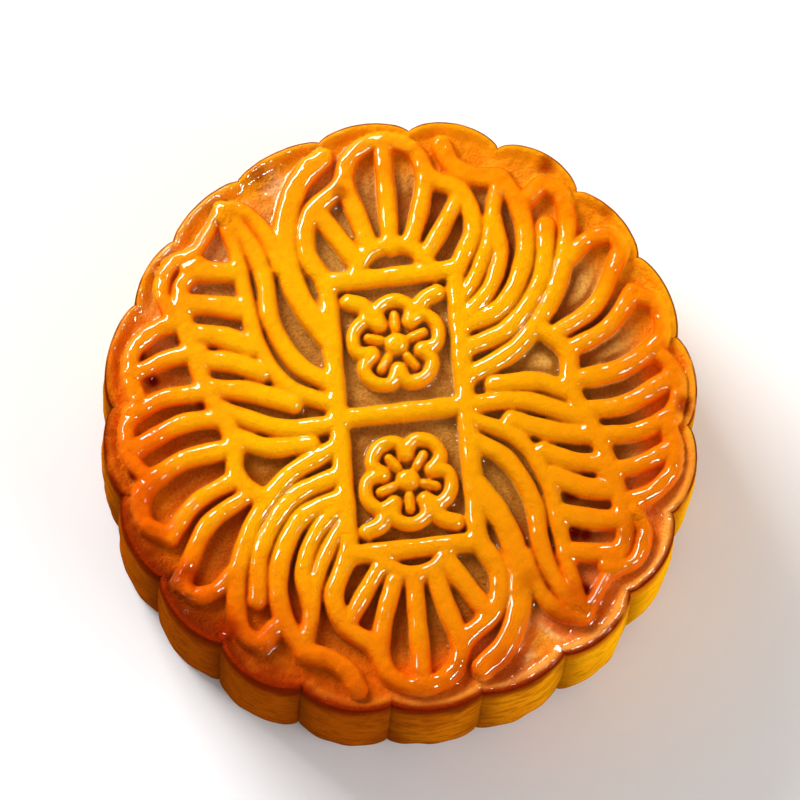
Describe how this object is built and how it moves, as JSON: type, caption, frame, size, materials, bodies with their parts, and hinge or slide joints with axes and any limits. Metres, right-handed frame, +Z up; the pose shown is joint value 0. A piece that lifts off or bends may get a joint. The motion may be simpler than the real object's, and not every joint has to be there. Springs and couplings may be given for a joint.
{
  "type": "moulded mooncake",
  "caption": "Round baked mooncake with scalloped sides and a raised moulded ornament on its top: a frame with blossoms, fans, petals, leaves and strands.",
  "frame": {"origin": "middle of the flat base", "axes": "+Z up through the ornament, +Y along the long side of the frame on the top"},
  "size_m": [0.076, 0.0764, 0.033],
  "materials": {
    "crust": "egg-washed baked crust: glossy, golden yellow on the ridges, browner at the rim and in the grooves"
  },
  "bodies": {
    "root": {"mooncake": "crust"}
  },
  "joints": []
}
